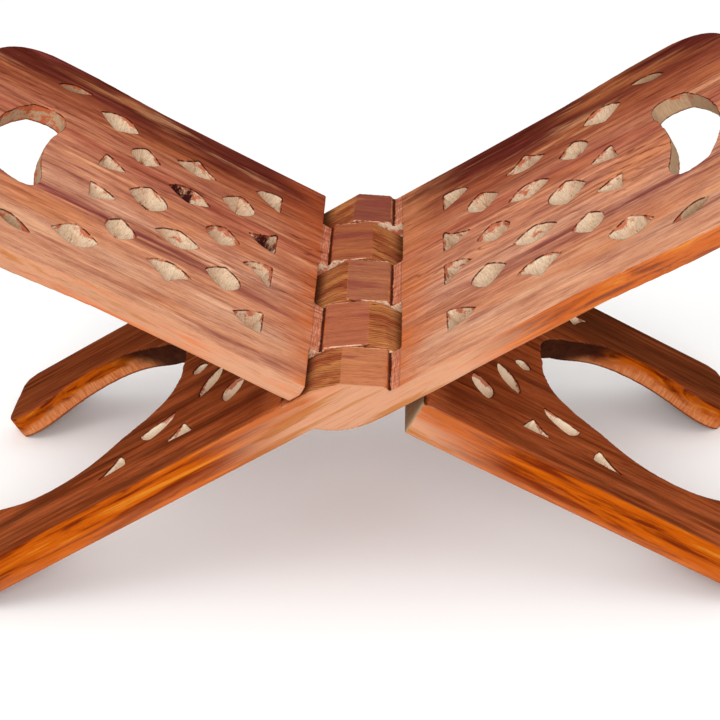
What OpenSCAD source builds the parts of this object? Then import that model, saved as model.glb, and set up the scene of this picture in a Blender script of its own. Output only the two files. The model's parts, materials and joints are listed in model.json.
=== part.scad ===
// Folding book stand carved from one plank.
// The plank is sawn through its mid-plane from both ends, and five carved
// knuckles in the middle interlock, so the two leaves fold like scissors.
// Each leaf is one solid piece: a book board on one side of the knuckles
// and a pair of legs on the other side.

/* [Plank] */
// Width of the plank, along the hinge
plank_w = 162; // [150:1:180]
// Thickness of a leg at the near edge, which is half of the plank
leg_t = 13.5; // [12:0.5:15]
// How much thinner the legs are at the far edge, where the plank tapers
leg_taper = 4; // [0:0.5:5]
// Thickness of one book board, planed down from the leg thickness
board_t = 8; // [6:0.5:9]
// Width of the saw cut that splits the plank
saw_kerf = 0.8; // [0.4:0.1:1.2]

/* [Opening] */
// Slope of each book board above the horizontal when the stand is open
lean = 30; // [25:0.5:32]

/* [Book board] */
// Distance from the hinge axis to the end of a book board
board_len = 166; // [160:1:185]
// How far each long edge of a book board flares outward near its end
board_flare = 3.5; // [0:0.5:6]
// Size of the rounded corners of a book board
board_corner = 27; // [15:1:32]

/* [Legs] */
// Distance from the hinge axis to the end of a leg
leg_len = 171; // [165:1:190]
// Depth planed off the lower end of each foot to give it a flat
foot_planing = 1.2; // [0.5:0.1:2.5]
// Distance from the hinge axis to the top of the arch between the legs
arch_top = 74; // [65:1:80]
// Half the width of the arch at its widest place
arch_half = 49; // [42:1:55]

/* [Knuckles] */
// Width of the first and last knuckle
end_knuckle = 28; // [22:1:32]
// Gap between the sides of neighbouring knuckles
knuckle_gap = 0.5; // [0.3:0.1:1]
// Distance from the hinge axis to the foot of a knuckle's carved slope
slope_foot = 14; // [12:0.5:16]

/* [Hidden] */

// Knuckle rows are counted from the far side. The right board owns rows 0, 2 and 4.
RIGHT_ROWS = [0, 2, 4];
LEFT_ROWS = [1, 3];
ROWS = 5;
mid_knuckle = (plank_w - 2 * end_knuckle) / (ROWS - 2);

half_w = plank_w / 2;
half_kerf = saw_kerf / 2;
// Height of the hinge axis above the ground
axis_z = leg_len * sin(lean) - half_kerf * cos(lean) - foot_planing;

// At the other leaf's knuckles a board is cut back and bevelled until it just
// misses the upper face of the other leaf's leg, which is the open stop.
stop_clearance = 0.25;
fold_gap = 180 - 2 * lean;
// The legs are cut back there until they pass under the other leaf's board
leg_clearance = 2;
notch_leg = (board_t + leg_clearance - leg_t * cos(fold_gap)) / sin(fold_gap);

// The carved top of a knuckle: a shoulder on the leg, a ridge, then the slope,
// which stops at a knife cut that stands above the face of the board
shoulder = 9;
ridge = 1.2;
ridge_h = 0.8 * leg_t;
knife_cut = 1.8;
// The lobe under a knuckle starts on the leg and runs out into the board here
lobe_foot = 16;
lobe_end = 8;

CURVE_STEPS = 10;
FRET_STEPS = 7;
WOOD = [0.66, 0.36, 0.24];
WOOD_LIGHT = [0.70, 0.40, 0.27];

// Near edge of a knuckle row, measured from the middle of the plank
function row_low(i) = row_high(i) - (i == 0 || i == ROWS - 1 ? end_knuckle : mid_knuckle);
function row_high(i) = i == 0 ? half_w : half_w - end_knuckle - (i - 1) * mid_knuckle;

// Distance from the axis at which a board meets the stop, at this depth below its top
function stop_reach(depth) = (leg_t + stop_clearance - depth * cos(fold_gap)) / sin(fold_gap);

// Points of a curve from p to q that bulges by sag to the left of its travel
function bow(p, q, sag, n = FRET_STEPS) =
    let (d = q - p, side = [-d[1], d[0]] / norm(d))
    [for (i = [0 : n - 1]) let (t = i / n) p + t * d + 4 * t * (1 - t) * sag * side];

// Outline of a cut-out: corners [x, y, sag], where sag belongs to the side that follows
function bowed_outline(c) =
    [for (i = [0 : len(c) - 1])
        let (a = c[i], b = c[(i + 1) % len(c)])
        each (a[2] == 0 ? [[a[0], a[1]]] : bow([a[0], a[1]], [b[0], b[1]], a[2]))];

// Points of a cubic curve from p towards s, without s itself
function curve(p, q, r, s, n = CURVE_STEPS) =
    [for (i = [0 : n - 1])
        let (t = i / n, u = 1 - t)
        u * u * u * p + 3 * u * u * t * q + 3 * u * t * t * r + t * t * t * s];

function flip(points) = [for (i = [len(points) - 1 : -1 : 0]) [points[i][0], -points[i][1]]];

// Fretwork of the far half of a board, outward from the hinge
FRET = [
    [[37, 43, 0], [37, 58.5, 2.2], [48.5, 52, 0.8]],
    [[36.5, 5.5, 0], [36.5, 24.5, -2], [48.5, 13.5, 1.8]],
    [[54, 23, 6.5], [53.5, 41, 0.8], [61.5, 31.5, 0.8]],
    [[65, 44.5, -0.8], [74, 54.5, -0.8], [83, 45, 5.5]],
    [[65, 18.5, 6.8], [83, 20, 0.8], [74, 12.5, 0.6]],
    [[88, 33, 0.8], [95, 41.5, 5.5], [95, 25, 0.8]],
    [[100, 51, 7.2], [117, 54.5, 0.5], [109, 44, 0.5]],
    [[99.5, 12.5, 0.8], [109, 20.5, 0], [110.5, 7.5, 1]],
    [[122, 66, 3.4], [136.5, 60, 0.5], [131, 58.5, 0.8]]
];
// Fretwork on the middle line of a board
FRET_MIDDLE = [
    [[50.5, 0, 0.8], [58, 8, 6.5], [58.5, -8, 0.8]],
    [[88, -9.5, 7.8], [89, 10.5, 0.8], [96.5, 0, 0.8]]
];
// Hand hole of a board
HAND_HOLE = [[127, -22, -3.4], [127, 22, 8], [141, 31.5, 9], [141, -31.5, 8]];
// Fretwork of the far leg, outward from the hinge
LEG_FRET = [
    [[61, 11, 0.8], [64, 15, 0.8], [67.5, 11.5, 0.8], [64.5, 7, 0.8]],
    [[53, 19, 3.5], [60.5, 37.5, 3.5]],
    [[41.5, 37, 3], [46.5, 53, 5.5]],
    [[71, 38, 0], [71.5, 43, 1], [80.5, 50.5, 1], [86, 43.5, 0]],
    [[60, 61, 0], [72.5, 60.5, -0.8], [65.5, 50.5, -0.6]],
    [[90, 60.5, 0.4], [103.5, 62, -1], [96.5, 56.5, -0.4], [94, 51, 0.6]]
];

// Far long edge of a board from the hinge to its rounded end
function board_edge() = concat(
    [[0, half_w]],
    [for (i = [0 : CURVE_STEPS])
        let (t = i / CURVE_STEPS)
        [84 + 50 * t, half_w - 0.8 + board_flare * (1 - cos(180 * t)) / 2]],
    curve([board_len - board_corner, half_w - 0.8 + board_flare],
          [board_len - 0.4 * board_corner, half_w - 0.8 + board_flare],
          [board_len - 1.5, half_w - 0.4 * board_corner],
          [board_len, half_w - 1.15 * board_corner]),
    [[board_len, half_w - 1.15 * board_corner]]);

// Far edge of the arch between the legs, from its top to the foot
function arch_edge() = concat(
    curve([arch_top, 0], [arch_top - 1, 9], [arch_top - 0.5, 24], [arch_top + 11, 29], 12),
    curve([arch_top + 12, 31], [arch_top + 22, 35], [arch_top + 30, arch_half], [arch_top + 52, arch_half]),
    curve([arch_top + 52, arch_half], [arch_top + 70, arch_half], [leg_len - 20, arch_half - 10],
          [leg_len - 9, arch_half - 9]),
    curve([leg_len - 9, arch_half - 9], [leg_len - 5, arch_half - 8.6], [leg_len, arch_half - 7],
          [leg_len, arch_half - 1], 5),
    [[leg_len, arch_half - 1]]);

// Outer corner of a foot
function foot_corner() = [
    [leg_len, half_w - 6],
    [leg_len - 1.8, half_w - 1.8],
    [leg_len - 6, half_w]
];

// Outline of one half of the legs, from the middle of the arch to the hinge
function leg_half() = concat(arch_edge(), foot_corner(), [[0, half_w]]);

module board_plan() {
    polygon(concat(board_edge(), flip(board_edge())));
}

module leg_plan() {
    mirror([1, 0])
        polygon(concat([[0, -half_w]], [for (p = flip(leg_half())) if (p[0] > 0 && p[1] < 0) p], leg_half()));
}

module both_halves() {
    children();
    mirror([0, 1]) children();
}

module board_cutouts() {
    both_halves()
        for (c = FRET)
            polygon(bowed_outline(c));
    for (c = FRET_MIDDLE)
        polygon(bowed_outline(c));
    polygon(bowed_outline(HAND_HOLE));
}

module leg_cutouts() {
    mirror([1, 0])
        both_halves()
            for (c = LEG_FRET)
                polygon(bowed_outline(c));
}

// Section of a leaf across the hinge, with the carved knuckle in the middle
module leaf_section() {
    polygon(concat(
        [[board_len + 1, -half_kerf], [slope_foot, -half_kerf], [slope_foot, knife_cut]],
        [[ridge, ridge_h], [-shoulder, leg_t]],
        [[-leg_len - 1, leg_t], [-leg_len - 1, half_kerf]],
        curve([-lobe_foot, half_kerf], [-0.7 * lobe_foot, -board_t / 2],
              [-0.3 * lobe_foot, -board_t], [lobe_end, -board_t]),
        [[lobe_end, -board_t], [board_len + 1, -board_t]]));
}

// A prism along the hinge, from y0 to y1, with a section drawn in the X-Z plane
module along_hinge(y0, y1) {
    translate([0, y1, 0])
        rotate([90, 0, 0])
            linear_extrude(y1 - y0)
                children();
}

// The wood that a leaf loses at the other leaf's knuckles
module notch_section() {
    top = stop_reach(board_t / 2);
    low = stop_reach(board_t);
    polygon([
        [-notch_leg, -leg_t], [-notch_leg, leg_t + 2], [top, leg_t + 2],
        [top, -board_t / 2], [low, -board_t], [low, -leg_t]
    ]);
}

// The tapering plank: everything below the upper face of the legs
module plank_wedge() {
    far = half_w + 10;
    slope = leg_taper / plank_w;
    translate([-2 * leg_len, 0, 0])
        rotate([90, 0, 90])
            linear_extrude(4 * leg_len)
                polygon([
                    [-far, -leg_t], [far, -leg_t],
                    [far, leg_t - slope * (half_w + far)], [-far, leg_t + slope * (far - half_w)]
                ]);
}

// A leaf that owns the given knuckle rows, lying flat with its axis on Y
module flat_leaf(own_rows) {
    others = [for (i = [0 : ROWS - 1]) if (len(search(i, own_rows)) == 0) i];
    difference() {
        intersection() {
            along_hinge(-half_w - 10, half_w + 10)
                leaf_section();
            translate([0, 0, -leg_t - 1])
                linear_extrude(2 * leg_t + 2)
                    union() {
                        board_plan();
                        leg_plan();
                    }
            plank_wedge();
        }
        translate([0, 0, -leg_t - 2])
            linear_extrude(2 * leg_t + 4)
                board_cutouts();
        translate([0, 0, -leg_t - 2])
            linear_extrude(2 * leg_t + 4)
                leg_cutouts();
        for (i = others)
            along_hinge(row_low(i) - (i == ROWS - 1 ? 10 : knuckle_gap / 2),
                        row_high(i) + (i == 0 ? 10 : knuckle_gap / 2))
                notch_section();
    }
}

module open_leaf(own_rows) {
    difference() {
        translate([0, 0, axis_z])
            rotate([0, -lean, 0])
                flat_leaf(own_rows);
        translate([-2 * leg_len, -plank_w, -20])
            cube([4 * leg_len, 2 * plank_w, 20]);
    }
}

module right_leaf() {
    color(WOOD)
        open_leaf(RIGHT_ROWS);
}

module left_leaf() {
    color(WOOD_LIGHT)
        mirror([1, 0, 0])
            open_leaf(LEFT_ROWS);
}

right_leaf();
left_leaf();
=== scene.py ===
import json
import math

import bpy
import numpy as np
from mathutils import Matrix, Vector


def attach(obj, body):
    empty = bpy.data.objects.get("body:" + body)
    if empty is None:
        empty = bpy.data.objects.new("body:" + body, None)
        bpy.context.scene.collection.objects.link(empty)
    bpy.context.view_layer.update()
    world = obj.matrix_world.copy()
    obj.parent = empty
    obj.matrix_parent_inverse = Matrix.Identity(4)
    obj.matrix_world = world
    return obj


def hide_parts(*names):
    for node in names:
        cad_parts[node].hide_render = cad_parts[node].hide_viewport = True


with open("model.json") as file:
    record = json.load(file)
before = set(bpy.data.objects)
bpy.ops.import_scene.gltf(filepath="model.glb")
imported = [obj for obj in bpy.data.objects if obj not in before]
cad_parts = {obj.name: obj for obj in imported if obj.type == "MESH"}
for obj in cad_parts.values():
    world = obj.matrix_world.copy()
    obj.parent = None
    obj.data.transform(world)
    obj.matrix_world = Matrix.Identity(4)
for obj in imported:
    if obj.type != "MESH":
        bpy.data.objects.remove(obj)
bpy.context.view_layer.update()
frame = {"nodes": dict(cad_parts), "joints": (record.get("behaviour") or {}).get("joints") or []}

MM = 0.001
LEAN = math.radians(30)  # slope of the boards above the horizontal
AXIS_Z = frame["joints"][0]["pos_m"][2] / MM  # height of the hinge axis, mm

# ---------------------------------------------------------------- camera

# Photograph's viewpoint: camera place in mm, heading, drop and roll in degrees
CAMERA_AT = (25.3, -597.0, 386.2)
CAMERA_HEADING = -2.5
CAMERA_DROP = 28.72
CAMERA_ROLL = -1.91
CAMERA_LENS = 88.15
SENSOR = 36.0


def make_camera():
    heading, drop, roll = (math.radians(a) for a in (CAMERA_HEADING, CAMERA_DROP, CAMERA_ROLL))
    forward = np.array([
        math.sin(heading) * math.cos(drop),
        math.cos(heading) * math.cos(drop),
        -math.sin(drop),
    ])
    level = np.array([math.cos(heading), -math.sin(heading), 0.0])
    over = np.cross(level, forward)
    right = math.cos(roll) * level + math.sin(roll) * over
    up = -math.sin(roll) * level + math.cos(roll) * over
    data = bpy.data.cameras.new("camera")
    data.lens = CAMERA_LENS
    data.sensor_width = SENSOR
    data.clip_start = 0.01
    camera = bpy.data.objects.new("camera", data)
    bpy.context.collection.objects.link(camera)
    turn = Matrix([[right[i], up[i], -forward[i]] for i in range(3)]).to_4x4()
    camera.matrix_world = Matrix.Translation([c * MM for c in CAMERA_AT]) @ turn
    bpy.context.scene.camera = camera


# ---------------------------------------------------------------- node helpers

class Nodes:
    """Short calls for building a material's node tree."""

    def __init__(self, material):
        material.use_nodes = True
        self.tree = material.node_tree
        self.tree.nodes.clear()

    def make(self, kind, **settings):
        node = self.tree.nodes.new(kind)
        for key, value in settings.items():
            setattr(node, key, value)
        return node

    def plug(self, value, socket):
        if isinstance(value, bpy.types.NodeSocket):
            self.tree.links.new(value, socket)
        else:
            socket.default_value = value

    def math(self, operation, a, b=0.0):
        node = self.make("ShaderNodeMath", operation=operation)
        self.plug(a, node.inputs[0])
        self.plug(b, node.inputs[1])
        return node.outputs[0]

    def plus(self, a, b):
        return self.math("ADD", a, b)

    def minus(self, a, b):
        return self.math("SUBTRACT", a, b)

    def times(self, a, b):
        return self.math("MULTIPLY", a, b)

    def larger(self, a, b):
        return self.math("MAXIMUM", a, b)

    def absolute(self, a):
        return self.math("ABSOLUTE", a)

    def wobble(self, noise, reach):
        """A noise turned into a shift of at most half of reach either way."""
        return self.times(self.minus(noise, 0.5), reach)

    def split(self, vector):
        node = self.make("ShaderNodeSeparateXYZ")
        self.plug(vector, node.inputs[0])
        return node.outputs

    def span(self, value, low, high, to_low=0.0, to_high=1.0, smooth=True):
        """Maps value from low..high to to_low..to_high, and stays at the ends beyond."""
        node = self.make("ShaderNodeMapRange", interpolation_type="SMOOTHSTEP" if smooth else "LINEAR")
        for i, v in enumerate((value, low, high, to_low, to_high)):
            self.plug(v, node.inputs[i])
        return node.outputs[0]

    def stretch(self, vector, x, y, z):
        node = self.make("ShaderNodeVectorMath", operation="MULTIPLY")
        self.plug(vector, node.inputs[0])
        node.inputs[1].default_value = (x, y, z)
        return node.outputs[0]

    def noise(self, vector, scale=1.0, detail=3.0, rough=0.55, warp=0.0):
        node = self.make("ShaderNodeTexNoise")
        self.plug(vector, node.inputs["Vector"])
        node.inputs["Scale"].default_value = scale
        node.inputs["Detail"].default_value = detail
        node.inputs["Roughness"].default_value = rough
        node.inputs["Distortion"].default_value = warp
        return node.outputs["Fac"]

    def mix(self, amount, a, b, blend="MIX"):
        """Mixes two colours."""
        node = self.make("ShaderNodeMix", data_type="RGBA", blend_type=blend)
        self.plug(amount, node.inputs["Factor"])
        self.plug(a, node.inputs["A"])
        self.plug(b, node.inputs["B"])
        return node.outputs["Result"]

    def blend(self, amount, a, b):
        """Mixes two numbers."""
        node = self.make("ShaderNodeMix", data_type="FLOAT")
        self.plug(amount, node.inputs[0])
        self.plug(a, node.inputs[2])
        self.plug(b, node.inputs[3])
        return node.outputs[0]

    def ramp(self, value, stops, blend="LINEAR"):
        node = self.make("ShaderNodeValToRGB")
        self.plug(value, node.inputs[0])
        ramp = node.color_ramp
        ramp.interpolation = blend
        while len(ramp.elements) < len(stops):
            ramp.elements.new(0.5)
        for element, (place, colour) in zip(ramp.elements, stops):
            element.position = place
            element.color = colour
        return node.outputs["Color"]

    def show(self, shader):
        out = self.make("ShaderNodeOutputMaterial")
        self.plug(shader.outputs[0], out.inputs[0])

    def vector(self, name):
        return self.make("ShaderNodeAttribute", attribute_name=name).outputs["Vector"]

    def mask(self, name):
        return self.make("ShaderNodeAttribute", attribute_name=name).outputs["Fac"]


def srgb(r, g, b):
    """A colour picked on an 8-bit screen scale, as linear light."""
    def linear(c):
        c /= 255
        return c / 12.92 if c <= 0.04045 else ((c + 0.055) / 1.055) ** 2.4
    return (linear(r), linear(g), linear(b), 1.0)


# ---------------------------------------------------------------- stained plank material

PLANK_EDGE = 88.0  # mm from the plank's middle to the end of the colour bands
# Colour bands across the plank: place from the middle in mm, near edge first
BANDS = (
    (-88, srgb(200, 142, 110)),
    (-72, srgb(193, 131, 99)),
    (-60, srgb(199, 145, 114)),
    (-48, srgb(190, 124, 92)),
    (-38, srgb(182, 116, 86)),
    (-25, srgb(194, 136, 108)),
    (-8, srgb(192, 128, 98)),
    (8, srgb(186, 116, 86)),
    (18, srgb(166, 90, 66)),
    (27, srgb(174, 106, 78)),
    (41, srgb(156, 84, 56)),
    (54, srgb(126, 60, 40)),
    (64, srgb(92, 36, 27)),
    (76, srgb(86, 33, 24)),
    (88, srgb(98, 43, 32)),
)
# The carved slopes of the knuckles, near row first
SLOPES = (
    (-81, srgb(180, 110, 73)),
    (-53, srgb(162, 91, 64)),
    (-18, srgb(154, 92, 65)),
    (17, srgb(152, 85, 55)),
    (53, srgb(128, 66, 52)),
)
# Grain of the faces
RING = srgb(104, 44, 32)
PORE = srgb(92, 40, 28)
PURPLE = srgb(124, 56, 52)
BLOND = srgb(222, 158, 112)
WARM = srgb(188, 108, 62)
STREAK = srgb(126, 60, 56)
STREAK_LINE = -32.0
STAIN_TINT = (1.0, 1.05, 1.08, 1.0)  # the red-brown stain over the whole plank
LEG_TINT = (1.08, 1.04, 0.8, 1.0)
# Dye beside the hinge: near part, then the far part of each leaf
HINGE_DYE = srgb(196, 100, 47)
FAR_DYE_RIGHT = srgb(196, 123, 82)
FAR_DYE_LEFT = srgb(166, 80, 46)
# Carved knuckles
OLIVE = srgb(184, 114, 66)
OLIVE_DARK = srgb(84, 36, 10)
# painted shade for the gap between the knuckle backs and the other leaf's board
PAINTED_GAP_SHADE = srgb(44, 16, 5)
TORN = srgb(232, 182, 152)
SCRAPED_DARK = srgb(170, 88, 62)
SCRAPED = srgb(212, 142, 112)
# Faces of the legs
LEG_BROWN = srgb(148, 75, 44)
LEG_DARK = srgb(94, 42, 22)
# painted shade for the far legs under the boards of each leaf
PAINTED_SHADE_RIGHT_LEAF = srgb(88, 36, 18)
PAINTED_SHADE_LEFT_LEAF = srgb(50, 28, 16)
# Side faces, and the walls of the arches
VARNISH = srgb(166, 74, 0)
VARNISH_DARK = srgb(96, 28, 0)
HONEY = srgb(192, 122, 34)
LOW_EDGE = srgb(184, 104, 60)
SALMON = srgb(178, 130, 101)
SALMON_DARK = srgb(186, 106, 66)
OLIVE_LINE = srgb(156, 98, 50)
BROWN_LINE = srgb(150, 80, 46)
SIDE_TOP = srgb(152, 78, 36)
SANDED_DARK = srgb(180, 100, 54)
SANDED = srgb(212, 140, 90)
# painted shade for the top of the arch
PAINTED_ARCH_SHADE = srgb(28, 8, 4)
# Bare wood and what marks it, with painted light and shade in the cut-outs
RAW = srgb(214, 190, 164)
RAW_DARK = srgb(184, 154, 122)
RAW_TAN = srgb(200, 152, 118)
# paler bare wood as painted light on the walls of the leg cut-outs
PAINTED_LIGHT_RAW = srgb(252, 236, 210)
PIT = srgb(120, 66, 44)
HAND_HOLE_DARK = srgb(120, 88, 62)
HAND_HOLE_WOOD = srgb(178, 144, 110)
END_GRAIN_DARK = srgb(104, 90, 68)
END_GRAIN = srgb(148, 128, 98)
DYE_RUN = srgb(172, 76, 40)
# painted shade for the cut-out rims and the slope foot, and the colour of the scribed line
PAINTED_SHADE_AND_SCRIBE = srgb(54, 16, 8)
SINGED = srgb(120, 52, 26)
CHAR = srgb(50, 14, 18)
# Distances from the hinge axis on the upper face of a board, mm
SLOPE_FOOT = 14.0
SCRIBED_LINE = 18.0
ROW_EDGES = (53.0, 17.67, -17.67, -53.0)  # edges between the knuckle rows, from the plank's middle
# Brightness of the grain, from the dark fibres to the pale ones
FIBRE_SHADES = (
    (0.28, (0.42, 0.34, 0.34, 1)),
    (0.44, (0.86, 0.81, 0.80, 1)),
    (0.56, (1.06, 1.08, 1.09, 1)),
    (0.74, (1.34, 1.44, 1.50, 1)),
)
FINE_SHADES = (
    (0.3, (0.74, 0.68, 0.66, 1)),
    (0.52, (1.0, 1.0, 1.0, 1)),
    (0.75, (1.14, 1.16, 1.18, 1)),
)
BLOTCH_SHADES = (
    (0.32, (0.76, 0.66, 0.68, 1)),
    (0.5, (1.0, 1.0, 1.0, 1)),
    (0.68, (1.16, 1.24, 1.22, 1)),
)
WHITE = (1, 1, 1, 1)


class Plank:
    """Places on a leaf that the material's parts share: mm in the flat leaf, and masks."""

    def __init__(self, n):
        self.flat = n.vector("plank")
        self.along, self.across, self.through = n.split(self.flat)
        self.grain = n.vector("grain")
        self.left_leaf = n.span(n.split(self.grain)[2], 10.0, 30.0)
        self.slope = n.mask("slope")
        self.back = n.mask("back")
        self.outer = n.mask("outer")
        self.arch = n.mask("arch")
        self.cut = n.mask("cut")
        self.raw = n.mask("raw")
        self.char = n.mask("char")


def across_plank(n, across, colours, blend="LINEAR"):
    """The colours of a table of (place, colour), laid out across the plank."""
    stops = [((place + PLANK_EDGE) / (2 * PLANK_EDGE), colour) for place, colour in colours]
    return n.ramp(n.span(across, -PLANK_EDGE, PLANK_EDGE, smooth=False), stops, blend)


def plank_bands(n, p):
    """Colour bands that wander a little along the plank, with one dark heartwood streak."""
    wander = n.wobble(n.noise(n.stretch(p.grain, 0.011, 0.012, 0.03), detail=2.0), 36.0)
    ripple = n.noise(n.stretch(p.grain, 0.05, 0.06, 0.1), detail=3.0)
    wander = n.plus(wander, n.wobble(ripple, 7.0))
    band = n.plus(p.across, wander)
    colour = across_plank(n, band, BANDS)
    flame = n.noise(n.stretch(p.grain, 0.016, 0.13, 0.13), detail=5.0, rough=0.6)
    colour = n.mix(n.span(flame, 0.54, 0.70, 0.0, 0.7), colour, PURPLE)
    colour = n.mix(n.span(flame, 0.46, 0.30, 0.0, 0.5), colour, BLOND)
    warm = n.noise(n.stretch(p.grain, 0.012, 0.045, 0.05), detail=2.0)
    colour = n.mix(n.span(warm, 0.5, 0.68, 0.0, 0.5), colour, WARM)
    blotch = n.noise(n.stretch(p.grain, 0.05, 0.15, 0.1), detail=5.0, rough=0.62)
    colour = n.mix(1.0, colour, n.ramp(blotch, BLOTCH_SHADES), "MULTIPLY")

    line = n.plus(n.minus(p.across, STREAK_LINE), n.times(wander, 0.35))
    line = n.plus(line, n.times(n.minus(120.0, p.along), 0.05))
    streak = n.span(n.absolute(line), 1.0, 7.0, 1.0, 0.0)
    mottled = n.span(n.noise(n.stretch(p.grain, 0.03, 0.4, 0.4), detail=4.0), 0.34, 0.6)
    streak = n.times(n.times(streak, n.span(p.along, 25.0, 80.0)), mottled)
    return n.mix(streak, colour, STREAK), band


def hinge_dye(n, p, colour):
    """Orange dye on the boards beside the hinge, which reaches further on the far side."""
    reach = n.plus(n.times(p.across, 0.12), 26.0)
    dye = n.span(p.along, 16.0, n.plus(reach, 14.0), 0.9, 0.0)
    patchy = n.noise(n.stretch(p.grain, 0.05, 0.09, 0.05), detail=4.0)
    dye = n.times(dye, n.span(patchy, 0.3, 0.62, 0.35, 1.0))
    far_dye = n.mix(p.left_leaf, FAR_DYE_RIGHT, FAR_DYE_LEFT)
    return n.mix(dye, colour, n.mix(n.span(p.across, -70.0, 75.0), HINGE_DYE, far_dye))


def knuckles(n, p, colour):
    """The slopes of the knuckles, their striped backs with painted shade towards the other board, and
    the torn fibres between the rows.
    """
    rows = across_plank(n, p.across, SLOPES, "CONSTANT")
    stain = n.noise(n.stretch(p.grain, 0.035, 0.11, 0.05), detail=4.0)
    rows = n.mix(n.span(stain, 0.52, 0.64, 0.0, 0.7), rows, PURPLE)
    rows = n.mix(n.span(stain, 0.46, 0.34, 0.0, 0.5), rows, OLIVE)
    colour = n.mix(n.times(p.slope, 0.9), colour, rows)

    layer = n.plus(n.times(p.across, 2.3), n.times(p.along, 0.5))
    layer = n.plus(layer, n.times(n.noise(n.stretch(p.grain, 0.05, 0.3, 0.1)), 7.0))
    layer = n.absolute(n.math("SINE", layer))
    olive = n.mix(n.span(stain, 0.4, 0.6), OLIVE, LEG_BROWN)
    striped = n.mix(n.span(layer, 0.0, 0.55, 0.9, 0.0), olive, OLIVE_DARK)
    # painted shade on the knuckle backs, darkest away from the ridge
    striped = n.mix(n.span(p.along, -15.0, -7.0, 0.85, 0.0), striped, PAINTED_GAP_SHADE)
    colour = n.mix(p.back, colour, striped)

    torn = n.noise(n.stretch(p.flat, 0.28, 0.4, 0.2), detail=4.0, rough=0.7)
    on_slope = n.span(p.along, SLOPE_FOOT - 0.5, SLOPE_FOOT, 1.0, 0.0)
    for place in ROW_EDGES:
        gap = n.absolute(n.minus(p.across, place))
        line = n.times(n.span(gap, 0.75, 1.35, 1.0, 0.0), n.span(torn, 0.42, 0.52))
        line = n.times(n.times(line, p.slope), on_slope)
        colour = n.mix(n.times(line, 0.9), colour, TORN)
    return colour


def knife_lines(n, p, colour):
    """Painted shadow of the knife cut at the foot of the slopes, the scraped strip up to a scribed
    line, and the dark scribed line.
    """
    upper = n.span(p.through, -3.0, -1.5)
    scratch = n.noise(n.stretch(p.grain, 2.4, 0.16, 1.0), detail=4.0, rough=0.65)
    past_foot = n.span(p.along, SLOPE_FOOT, SLOPE_FOOT + 0.6)
    strip = n.times(past_foot, n.span(p.along, SCRIBED_LINE, SCRIBED_LINE + 0.6, 1.0, 0.0))
    scraped = n.mix(n.span(scratch, 0.4, 0.62), SCRAPED_DARK, SCRAPED)
    colour = n.mix(n.times(n.times(strip, upper), 0.75), colour, scraped)
    shake = n.wobble(n.noise(n.stretch(p.grain, 0.1, 0.16, 0.1), detail=4.0), 1.3)
    place = n.plus(p.along, shake)
    # painted shadow of the knife-cut step at the foot of the slopes
    foot_shadow = n.span(n.absolute(n.minus(place, SLOPE_FOOT)), 0.5, 0.9, 0.95, 0.0)
    foot_shadow = n.times(foot_shadow, n.span(p.through, 1.5, 0.0))
    scribed = n.span(n.absolute(n.minus(place, SCRIBED_LINE)), 0.08, 0.4, 0.45, 0.0)
    scribed = n.times(scribed, n.span(scratch, 0.35, 0.6))
    foot_shadow_and_scribe = n.times(n.larger(foot_shadow, scribed), upper)
    return n.mix(foot_shadow_and_scribe, colour, PAINTED_SHADE_AND_SCRIBE), foot_shadow_and_scribe


def leg_faces(n, p, colour):
    """Legs are browner on their faces, with painted shade on the far legs under the boards."""
    leg = n.span(p.along, -34.0, -15.0, 0.93, 0.0)
    tone = n.noise(n.stretch(p.grain, 0.018, 0.16, 0.2), detail=5.0, rough=0.6)
    brown = n.mix(n.span(tone, 0.34, 0.66), LEG_DARK, LEG_BROWN)
    # painted shade on the far legs under the boards, deepest towards the hinge
    painted_shade = n.times(n.span(p.across, 25.0, 58.0), n.span(p.along, -150.0, -70.0, 0.55, 0.95))
    brown = n.mix(painted_shade, brown, n.mix(p.left_leaf, PAINTED_SHADE_RIGHT_LEAF, PAINTED_SHADE_LEFT_LEAF))
    return n.mix(leg, colour, brown), leg


def straight_grain(n, p, colour, band):
    """Long fibres, growth rings and dye in the pores, fainter on the slopes and near the near edge."""
    calm = n.larger(p.slope, n.span(p.across, -5.0, -65.0, 0.0, 0.75))
    calm = n.times(calm, n.span(p.along, -20.0, -12.0))
    fibre = n.noise(n.stretch(p.grain, 0.020, 0.42, 0.5), detail=7.0, rough=0.66)
    fibres = n.mix(n.times(calm, 0.6), n.ramp(fibre, FIBRE_SHADES), WHITE)
    colour = n.mix(1.0, colour, fibres, "MULTIPLY")
    ring = n.plus(n.times(band, 0.62), n.times(fibre, 4.0))
    ring = n.absolute(n.math("SINE", ring))
    patch = n.noise(n.stretch(p.grain, 0.013, 0.06, 0.1), detail=3.0)
    patch = n.times(n.span(patch, 0.40, 0.62, 0.1, 0.72), n.span(calm, 0.0, 1.0, 1.0, 0.2))
    colour = n.mix(n.times(n.span(ring, 0.0, 0.42, 1.0, 0.0), patch), colour, RING)
    fine = n.noise(n.stretch(p.grain, 0.08, 2.6, 2.8), detail=4.0, rough=0.62)
    colour = n.mix(1.0, colour, n.ramp(fine, FINE_SHADES), "MULTIPLY")
    pore = n.noise(n.stretch(p.grain, 0.22, 4.5, 4.5), detail=2.0, rough=0.5)
    pore = n.span(pore, 0.30, 0.37, 1.0, 0.0)
    return n.mix(n.times(pore, 0.6), colour, PORE), fibre, fine, pore


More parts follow.
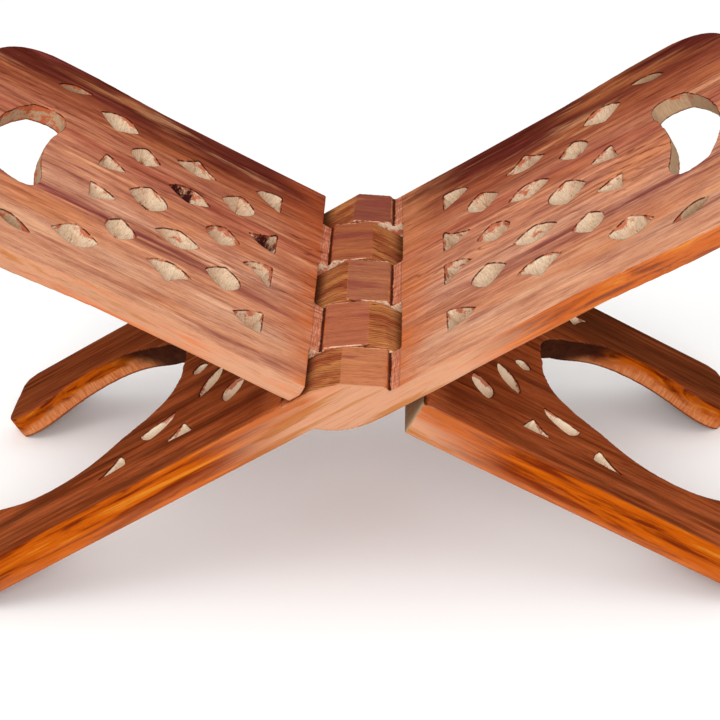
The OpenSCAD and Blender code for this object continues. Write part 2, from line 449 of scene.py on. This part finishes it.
def side_faces(n, p, fine):
    """Side faces: varnished orange on the legs, salmon beside the knuckles."""
    away = n.span(p.along, -62.0, -14.0, 1.0, 0.0)
    away = n.larger(away, n.times(n.span(p.along, 38.0, 80.0), n.blend(p.left_leaf, 0.9, 0.12)))
    streaks = n.noise(n.stretch(p.grain, 0.02, 0.28, 0.34), detail=7.0, rough=0.64, warp=0.6)
    broad = n.noise(n.stretch(p.grain, 0.014, 0.13, 0.16), detail=5.0, rough=0.58, warp=0.3)

    amber = n.mix(n.span(streaks, 0.38, 0.56), VARNISH_DARK, VARNISH)
    amber = n.mix(n.span(streaks, 0.56, 0.70, 0.0, 0.7), amber, HONEY)
    low_edge = n.span(n.plus(p.through, n.times(broad, 14.0)), 13.0, 7.0, 0.0, 0.62)
    low_edge = n.times(low_edge, n.span(p.along, 0.0, -12.0))
    amber = n.mix(low_edge, amber, LOW_EDGE)

    rosy = n.mix(n.span(broad, 0.34, 0.54), SALMON_DARK, SALMON)
    rosy = n.mix(n.span(broad, 0.56, 0.64, 0.0, 0.85), rosy, OLIVE_LINE)
    rosy = n.mix(n.span(streaks, 0.40, 0.30, 0.0, 0.6), rosy, BROWN_LINE)
    top = n.times(n.span(p.along, -6.0, -14.0), n.span(p.through, 5.0, 11.0))
    top = n.times(top, n.span(p.along, -60.0, -25.0))
    rosy = n.mix(n.times(top, n.span(streaks, 0.36, 0.56, 0.35, 0.85)), rosy, SIDE_TOP)

    sides = n.mix(away, rosy, amber)
    sides = n.mix(n.span(fine, 0.5, 0.3, 0.0, 0.25), sides, VARNISH_DARK)
    return sides, amber, away, streaks


def arch_wall(n, p, amber):
    """Inside of the arch: painted shade at its top, sawn and sanded paler towards the lower face."""
    ridges = n.noise(n.stretch(p.grain, 1.7, 0.6, 0.2), detail=3.0, rough=0.6)
    sanded = n.mix(n.span(ridges, 0.34, 0.66), SANDED_DARK, SANDED)
    wave = n.wobble(n.noise(n.stretch(p.grain, 0.05, 0.05, 0.1)), 14.0)
    low = n.span(n.plus(p.through, wave), 3.0, 7.0, 0.8, 0.0)
    wall = n.mix(low, amber, sanded)
    wall = n.mix(n.span(p.through, 1.6, 0.9, 0.0, 0.8), wall, VARNISH_DARK)
    # painted shade over the top of the arch, reaching further near the upper face
    dark = n.plus(n.plus(p.along, n.times(wave, 1.2)), n.times(p.through, 2.0))
    return n.mix(n.span(dark, -108.0, -88.0, 0.0, 0.97), wall, PAINTED_ARCH_SHADE)


def bare_wood(n, p):
    """Unstained wood where the saw went in after dyeing, with saw marks, pits and dye runs, and
    painted light in the leg cut-outs.
    """
    kerfs = n.noise(n.stretch(p.flat, 2.2, 2.2, 0.3), detail=4.0, rough=0.68)
    bare = n.mix(n.span(kerfs, 0.32, 0.62), RAW_DARK, RAW)
    bare = n.mix(n.span(n.noise(p.flat, 0.14, 3.0), 0.5, 0.8, 0.0, 0.6), bare, RAW_TAN)
    # painted light: the walls of the leg cut-outs get a paler copy of the bare wood
    bare = n.mix(n.span(p.along, -30.0, -36.0), bare, n.mix(kerfs, RAW, PAINTED_LIGHT_RAW))
    pit = n.span(n.noise(p.flat, 1.1, 2.0), 0.69, 0.75)
    bare = n.mix(n.times(pit, 0.8), bare, PIT)
    in_hand_hole = n.span(p.along, 120.0, 128.0)
    bare = n.mix(n.times(in_hand_hole, 0.8), bare, n.mix(kerfs, HAND_HOLE_DARK, HAND_HOLE_WOOD))
    at_leg_end = n.times(n.span(p.along, -15.0, -18.5), n.span(p.along, -30.0, -24.0))
    bare = n.mix(n.times(at_leg_end, 0.9), bare, n.mix(kerfs, END_GRAIN_DARK, END_GRAIN))

    run = n.noise(n.stretch(p.flat, 0.11, 0.11, 0.24), detail=6.0, rough=0.7)
    run = n.plus(run, n.span(p.cut, 0.3, 3.2, 0.13, 0.0))
    run = n.plus(run, n.times(in_hand_hole, n.blend(p.left_leaf, -0.02, 0.06)))
    run = n.times(n.span(run, 0.60, 0.68, 0.0, 0.85), n.span(at_leg_end, 0.0, 1.0, 1.0, 0.15))
    return n.mix(run, bare, DYE_RUN), kerfs


def edge_shade_and_burns(n, p, colour):
    """Painted shade as dark rims along the top of the cut-out walls, and scorched patches."""
    broken = n.span(n.noise(p.flat, 0.35, 3.0), 0.34, 0.55, 0.2, 1.0)
    # painted shade along the top of the cut-out walls
    edge_shade = n.times(n.span(p.cut, 0.12, 0.24), n.span(p.cut, 0.45, 0.85, 1.0, 0.0))
    edge_shade = n.times(edge_shade, broken)
    colour = n.mix(n.times(edge_shade, 0.92), colour, PAINTED_SHADE_AND_SCRIBE)
    speckle = n.times(n.noise(p.flat, 0.75, 5.0, 0.75), 2.2)
    burnt = n.times(n.span(p.char, 0.0, 0.2), n.plus(p.char, speckle))
    colour = n.mix(n.span(burnt, 1.25, 1.5, 0.0, 0.8), colour, SINGED)
    return n.mix(n.span(burnt, 1.62, 1.74, 0.0, 0.95), colour, CHAR), edge_shade


def plank_material():
    material = bpy.data.materials.new("stained_plank")
    n = Nodes(material)
    p = Plank(n)
    colour, band = plank_bands(n, p)
    colour = hinge_dye(n, p, colour)
    colour = knuckles(n, p, colour)
    colour, foot_shadow_and_scribe = knife_lines(n, p, colour)
    colour, leg = leg_faces(n, p, colour)
    colour, fibre, fine, pore = straight_grain(n, p, colour, band)
    colour = n.mix(1.0, colour, n.mix(leg, STAIN_TINT, LEG_TINT), "MULTIPLY")
    sides, amber, away, streaks = side_faces(n, p, fine)
    colour = n.mix(n.times(p.outer, 0.94), colour, sides)
    colour = n.mix(n.times(p.arch, 0.92), colour, arch_wall(n, p, amber))

    bare, kerfs = bare_wood(n, p)
    ragged = n.wobble(n.noise(p.flat, 0.55, 4.0), 0.9)
    raw_cut = n.span(n.plus(p.cut, ragged), 0.42, 0.6)
    raw = n.larger(raw_cut, n.span(n.plus(p.raw, ragged), 0.42, 0.6))
    colour, edge_shade = edge_shade_and_burns(n, p, n.mix(raw, colour, bare))

    glossy = n.larger(n.times(p.outer, away), p.arch)
    rough = n.span(fibre, 0.3, 0.7, 0.56, 0.44)
    rough = n.blend(glossy, rough, n.span(streaks, 0.3, 0.7, 0.34, 0.24))
    rough = n.blend(raw, rough, 0.88)
    height = n.plus(n.times(fibre, 0.6), n.times(fine, 0.4))
    height = n.minus(height, n.times(pore, 0.4))
    height = n.plus(height, n.times(n.times(kerfs, raw), 1.8))
    height = n.minus(height, n.times(n.larger(edge_shade, foot_shadow_and_scribe), 0.8))
    bump = n.make("ShaderNodeBump")
    bump.inputs["Strength"].default_value = 0.4
    bump.inputs["Distance"].default_value = 0.0003
    n.plug(height, bump.inputs["Height"])

    shader = n.make("ShaderNodeBsdfPrincipled")
    n.plug(colour, shader.inputs["Base Color"])
    n.plug(rough, shader.inputs["Roughness"])
    shader.inputs["Specular IOR Level"].default_value = 0.0
    n.plug(n.times(glossy, 0.06), shader.inputs["Coat Weight"])
    shader.inputs["Coat Roughness"].default_value = 0.22
    n.plug(bump.outputs[0], shader.inputs["Normal"])
    n.show(shader)
    return material


# ---------------------------------------------------------------- carving the leaves

VOXEL = 0.62  # mm, size of the carving grid
KEEP = 0.30  # share of triangles kept after carving
HINGE_ZONE = 21.0  # mm either side of the axis
NOISE_TABLE = 4096  # random values that the noise picks from
HASH_PRIMES = (73856093, 19349663, 83492791)  # spread the cells of the noise over the table


def flat_turn(side):
    """Rotation from the part's frame to a leaf lying flat, for side +1 (right) or -1 (left)."""
    c, s = math.cos(LEAN), math.sin(LEAN)
    return np.array([[side * c, 0, s], [0, 1, 0], [-side * s, 0, c]])


def to_flat(points, side):
    """Points in metres to (along, across, through) in mm, where along runs towards the board."""
    moved = points / MM - np.array([0, 0, AXIS_Z])
    return moved @ flat_turn(side).T


def to_frame(flat, side):
    return (flat @ flat_turn(side) + np.array([0, 0, AXIS_Z])) * MM


def read_points(mesh):
    points = np.empty(len(mesh.vertices) * 3)
    mesh.vertices.foreach_get("co", points)
    return points.reshape(-1, 3)


def read_normals(mesh):
    normals = np.empty(len(mesh.vertices) * 3)
    mesh.vertices.foreach_get("normal", normals)
    return normals.reshape(-1, 3)


def write_points(mesh, points):
    mesh.vertices.foreach_set("co", points.ravel())
    mesh.update()


def apply_modifier(piece, kind, **settings):
    modifier = piece.modifiers.new(kind.lower(), kind)
    for key, value in settings.items():
        setattr(modifier, key, value)
    graph = bpy.context.evaluated_depsgraph_get()
    graph.update()
    mesh = bpy.data.meshes.new_from_object(piece.evaluated_get(graph))
    piece.modifiers.clear()
    old = piece.data
    piece.data = mesh
    bpy.data.meshes.remove(old)


def eased(t):
    """Clips t to between 0 and 1, and eases it in and out."""
    t = np.clip(t, 0, 1)
    return t * t * (3 - 2 * t)


def lumps(points, wavelength, seed):
    """Smooth value noise between -1 and 1 at each point, the same on every run."""
    table = np.random.default_rng(seed).uniform(-1, 1, NOISE_TABLE)
    p = points / wavelength
    cell = np.floor(p).astype(np.int64)
    t = eased(p - cell)
    total = np.zeros(len(points))
    for corner in range(8):
        step = np.array([(corner >> axis) & 1 for axis in range(3)])
        key = (cell + step) @ np.array(HASH_PRIMES)
        weight = np.prod(np.where(step, t, 1 - t), axis=1)
        total += weight * table[key % NOISE_TABLE]
    return total


def near(value, centre, width):
    """1 at centre, falling smoothly to 0 at width away."""
    return eased(1 - np.abs(value - centre) / width)


def ramp_up(value, low, high):
    """0 up to low, rising smoothly to 1 at high."""
    return eased((value - low) / (high - low))


# Half width of the arch between the legs, by distance from the hinge, mm
ARCH_AT = (72, 86, 98, 110, 126, 150, 171)
ARCH_HALF = (28, 32, 40, 46, 49, 46, 48)
# Sizes that the CAD leaves have, mm
BOARD_TOP = -0.4
BOARD_BOTTOM = -8.0
LEG_BOTTOM = 0.4
LEG_T = 13.5
LEG_TAPER = 4.0
PLANK_W = 162.0
RIDGE = 1.2
# Where the parts of a leaf lie: distance from the hinge axis (legs are minus), or from the middle, mm
BOARD_CUTS = (30, 156)
BOARD_CUTS_HALF = 74
LEG_CUTS_START = -30
LEG_CUTS_HALF = 70
LEG_END = -16
ARCH_START = -70
ARCH_MARGIN = 3.5
BACK_REACH = 7
SIDE_FACE = 78
ROUNDED_SIDE = 76
ROUNDED_TOP = 158
ROUNDED_FOOT = -166
SAW_LEAN = 0.26  # how far a cut-out's wall leans in, per mm of depth
FAR_WALL_LEAN = 0.16  # how much more the far walls of the middle cut-outs lean
HAND_HOLE_START = 118
HAND_HOLE_HALF = 40
# Lumps left by the tools: stretch along, across and through, length in mm, seed, height in mm
SAW = ((1, 1, 0.15), 1.3, 11, 0.10)
CHISEL = ((0.5, 1, 1), 6.0, 23, 0.14)
PLANED = ((0.4, 1, 1), 11.0, 37, 0.07)
HAND_WOBBLE = ((1, 1, 0.3), 4.0, 41, 0.24)


def leg_top(across):
    """Height of a leg's upper face, which falls towards the far edge of the plank."""
    return LEG_T - LEG_TAPER * (across / PLANK_W + 0.5)


def zones(flat, normals):
    """Masks, between 0 and 1, for each vertex of a flat leaf, and the depth of its cut-outs."""
    along, across, through = flat.T
    wall = ramp_up(1 - np.abs(normals[:, 2]), 0.25, 0.6)
    side_wall = np.abs(normals[:, 1])
    middle = np.abs(across)
    arch_line = np.interp(-along, ARCH_AT, ARCH_HALF) + ARCH_MARGIN
    board_cut = (along > BOARD_CUTS[0]) & (along < BOARD_CUTS[1]) & (middle < BOARD_CUTS_HALF)
    arch_cut = (along < ARCH_START) & (middle < arch_line)
    leg_cut = (along < LEG_CUTS_START) & ~arch_cut & (middle < LEG_CUTS_HALF)
    board_depth = np.minimum(BOARD_TOP - through, through - BOARD_BOTTOM)
    leg_depth = np.minimum(leg_top(across) - through, through - LEG_BOTTOM)
    cut = np.where(board_cut, board_depth, np.where(leg_cut, leg_depth, 0.0))
    upward = normals[:, 2] > 0.5
    knuckle_side = (np.abs(along) < HINGE_ZONE) & (side_wall > 0.6) & (middle < SIDE_FACE)
    knuckle_back = np.abs(along) <= BACK_REACH
    leg_end = (along > -HINGE_ZONE - 1) & (along < LEG_END) & (normals[:, 0] > 0.6)
    past_ridge = along > RIDGE
    return {
        "cut": np.clip(cut, 0, 4),
        "raw": 1.0 * ((knuckle_side & ~knuckle_back) | leg_end),
        "fret": wall * (board_cut | leg_cut),
        "arch": wall * arch_cut,
        "edge": wall * ((middle > ROUNDED_SIDE) | (along > ROUNDED_TOP) | (along < ROUNDED_FOOT)),
        "slope": 1.0 * upward * past_ridge * (through > 0.9),
        "back": 1.0 * (upward & ~past_ridge & (along > -HINGE_ZONE) | knuckle_side & knuckle_back),
    }


def roughness(flat, texture, side):
    stretch, wavelength, seed, height = texture
    return lumps(flat * stretch, wavelength, seed + side) * height


def carve(piece, side):
    """Turns the plain CAD mesh, lying flat in mm, into hand-carved wood."""
    apply_modifier(piece, "REMESH", mode="VOXEL", voxel_size=VOXEL, use_smooth_shade=True)
    mesh = piece.data
    flat = read_points(mesh)
    normals = read_normals(mesh)
    zone = zones(flat, normals)
    along, across, through = flat.T
    knuckle = zone["slope"] + zone["back"]
    saw = roughness(flat, SAW, side)
    chisel = roughness(flat, CHISEL, side)
    push = roughness(flat, PLANED, side) + zone["fret"] * (saw + roughness(flat, HAND_WOBBLE, side))
    push = push + zone["arch"] * saw + knuckle * chisel
    # knife cut at the foot of each slope, and the edges of the knuckles worn down
    upper_face = (normals[:, 2] > 0.3) & (through < 2)
    push -= 0.25 * near(along + 0.4 * lumps(flat, 7.0, 53), SLOPE_FOOT, 0.9) * upper_face
    row_edge = sum(near(across, edge, 1.1) for edge in ROW_EDGES)
    push -= knuckle * row_edge * (0.25 + 0.25 * lumps(flat, 2.5, 61))
    # the fretsaw leaned, so the cut-outs of a board are narrower underneath
    in_middle = np.abs(across) < HAND_HOLE_HALF
    small = (along > 0) & ((along < HAND_HOLE_START) | ~in_middle)
    lean = SAW_LEAN + FAR_WALL_LEAN * np.clip(-normals[:, 1], 0, 1) * in_middle
    push += zone["fret"] * small * lean * np.clip(BOARD_TOP - through, 0, BOARD_TOP - BOARD_BOTTOM)
    hinge = np.abs(along) < HINGE_ZONE + 2
    push = np.where(hinge, np.minimum(push, 0.0), push)
    flat += normals * push[:, None]
    write_points(mesh, flat)
    group = piece.vertex_groups.new(name="rounded")
    soften = np.clip(zone["edge"] + 0.35 * zone["arch"], 0, 1)
    for index in np.nonzero(soften > 0.05)[0]:
        group.add([int(index)], float(soften[index]), "REPLACE")
    apply_modifier(piece, "SMOOTH", factor=0.5, iterations=7, vertex_group="rounded")
    apply_modifier(piece, "DECIMATE", decimate_type="COLLAPSE", ratio=KEEP)


# Scorched cut-outs of the left board: place along and across, and reach, mm
SCORCHED = ((79, 21, 7), (74, 24, 3), (41, 14, 8), (60, -2, 7), (57, 33, 3))
LEFT_GRAIN = 47.0  # shift that gives the left leaf its own grain


def paint(piece, side):
    """Writes the attributes that the material reads."""
    mesh = piece.data
    flat = read_points(mesh)
    normals = read_normals(mesh)
    zone = zones(flat, normals)
    along, across, through = flat.T
    # the slopes cut the fibres at a slant, so the grain isn't read through the wood there
    grain_depth = np.where(zone["slope"] + zone["back"] > 0, 0.1 * through, through)
    grain_depth = grain_depth + LEFT_GRAIN * (side < 0)
    scorched = sum(near(np.hypot(along - a, across - b), 0, r) for a, b, r in SCORCHED)
    layers = {"plank": flat, "grain": np.column_stack([along, across, grain_depth])}
    for name, value in layers.items():
        layer = mesh.attributes.new(name, "FLOAT_VECTOR", "POINT")
        layer.data.foreach_set("vector", value.astype(np.float32).ravel())
    masks = {
        "cut": zone["cut"],
        "raw": zone["raw"],
        "arch": zone["arch"],
        "slope": zone["slope"],
        "back": zone["back"],
        "outer": ramp_up(np.abs(normals[:, 1]), 0.45, 0.75) * (np.abs(across) > SIDE_FACE),
        "char": scorched * (side < 0) * (zone["cut"] > 0.1),
    }
    for name, value in masks.items():
        layer = mesh.attributes.new(name, "FLOAT", "POINT")
        layer.data.foreach_set("value", value.astype(np.float32))


def make_leaf(node, body, side, material):
    source = frame["nodes"][node].data
    flat = to_flat(read_points(source), side)
    mesh = source.copy()
    mesh.name = node + "_carved"
    write_points(mesh, flat)
    if side < 0:
        mesh.flip_normals()
    piece = bpy.data.objects.new(node + "_carved", mesh)
    bpy.context.collection.objects.link(piece)
    carve(piece, side)
    paint(piece, side)
    mesh = piece.data
    write_points(mesh, to_frame(read_points(mesh), side))
    if side < 0:
        mesh.flip_normals()
    mesh.materials.clear()
    mesh.materials.append(material)
    mesh.polygons.foreach_set("use_smooth", [True] * len(mesh.polygons))
    apply_modifier(piece, "WEIGHTED_NORMAL", weight=70, keep_sharp=False)
    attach(piece, body)
    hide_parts(node)


# ---------------------------------------------------------------- studio

def make_floor():
    bpy.ops.mesh.primitive_plane_add(size=6, location=(0, 0, 0))
    floor = bpy.context.object
    floor.name = "floor"
    material = bpy.data.materials.new("floor")
    n = Nodes(material)
    shader = n.make("ShaderNodeBsdfPrincipled")
    shader.inputs["Base Color"].default_value = (0.96, 0.96, 0.95, 1)
    shader.inputs["Roughness"].default_value = 0.9
    n.show(shader)
    floor.data.materials.append(material)


def make_light(name, place, aim, power, size):
    data = bpy.data.lights.new(name, "AREA")
    data.energy = power
    data.size = size
    light = bpy.data.objects.new(name, data)
    bpy.context.collection.objects.link(light)
    turn = (Vector(place) - Vector(aim)).to_track_quat("Z", "Y").to_matrix().to_4x4()
    light.matrix_world = Matrix.Translation(place) @ turn


def make_studio():
    bpy.context.scene.view_settings.view_transform = "Standard"
    world = bpy.data.worlds.new("studio")
    bpy.context.scene.world = world
    world.use_nodes = True
    background = world.node_tree.nodes["Background"]
    background.inputs[0].default_value = (1, 1, 1, 1)
    background.inputs[1].default_value = 0.95
    make_light("key", (-0.5, -0.7, 1.3), (0, 0, 0.1), 4.5, 0.9)
    make_light("fill", (0.05, -0.8, 0.42), (0, 0, 0.06), 4, 0.4)


make_camera()
make_floor()
make_studio()
stained = plank_material()
make_leaf("right_leaf", "right_body", 1, stained)
make_leaf("left_leaf", "left_body", -1, stained)
